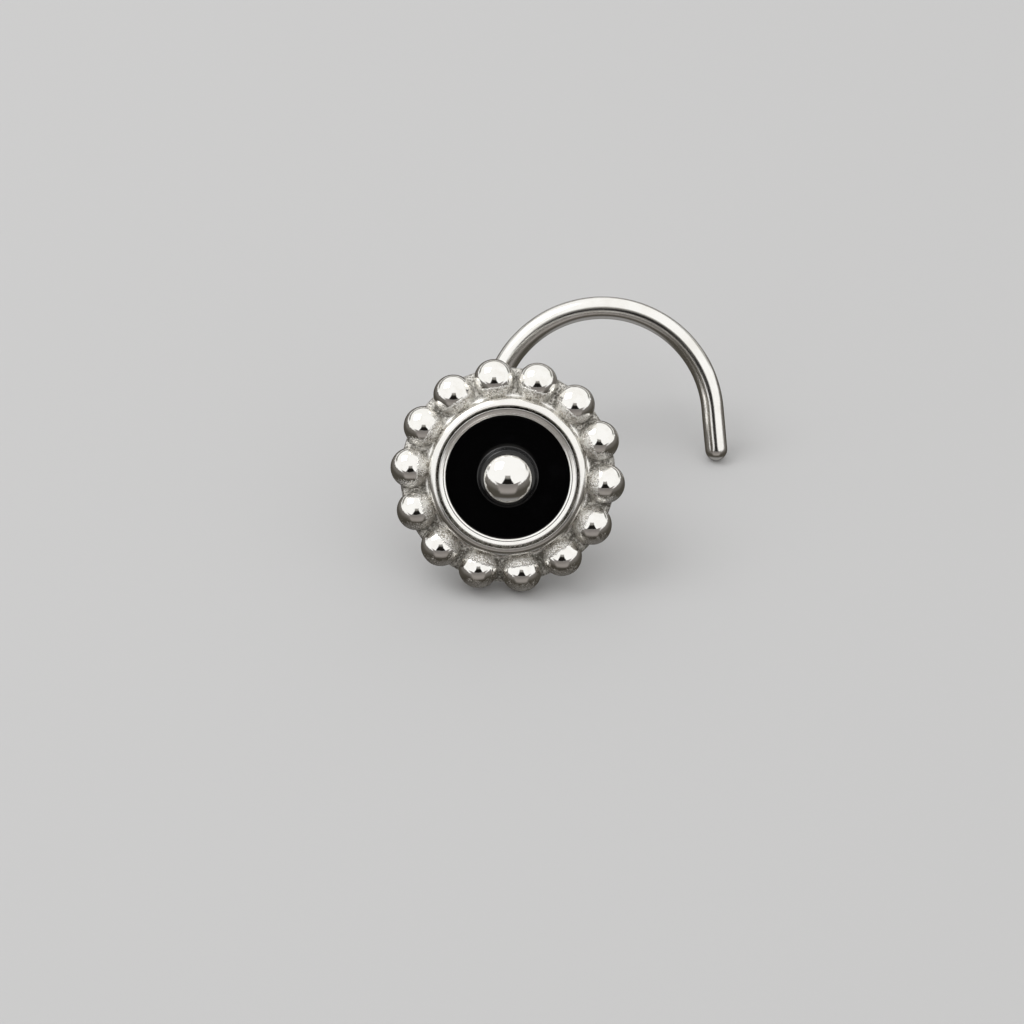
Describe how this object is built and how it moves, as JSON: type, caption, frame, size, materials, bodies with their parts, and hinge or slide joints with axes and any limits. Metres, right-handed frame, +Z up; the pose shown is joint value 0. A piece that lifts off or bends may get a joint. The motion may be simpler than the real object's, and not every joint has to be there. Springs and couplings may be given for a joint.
{
  "type": "nose ring",
  "caption": "Beaded silver nose stud with a round black stone, a silver ball at its middle and a curled wire hook behind, lying at rest.",
  "frame": {"origin": "centre of the part's box, on the surface that it lies on", "axes": "+Z up; the head faces -Y and leans back, and the hook lies behind it towards +Y and +X"},
  "size_m": [0.012, 0.0112, 0.007],
  "materials": {
    "oxidised_silver": "satin",
    "bright_silver": "polished",
    "black_stone": "polished"
  },
  "bodies": {
    "root": {"setting_with_hook": "oxidised_silver", "bezel_ring": "bright_silver", "stone_disc": "black_stone", "center_ball": "bright_silver"}
  },
  "joints": []
}
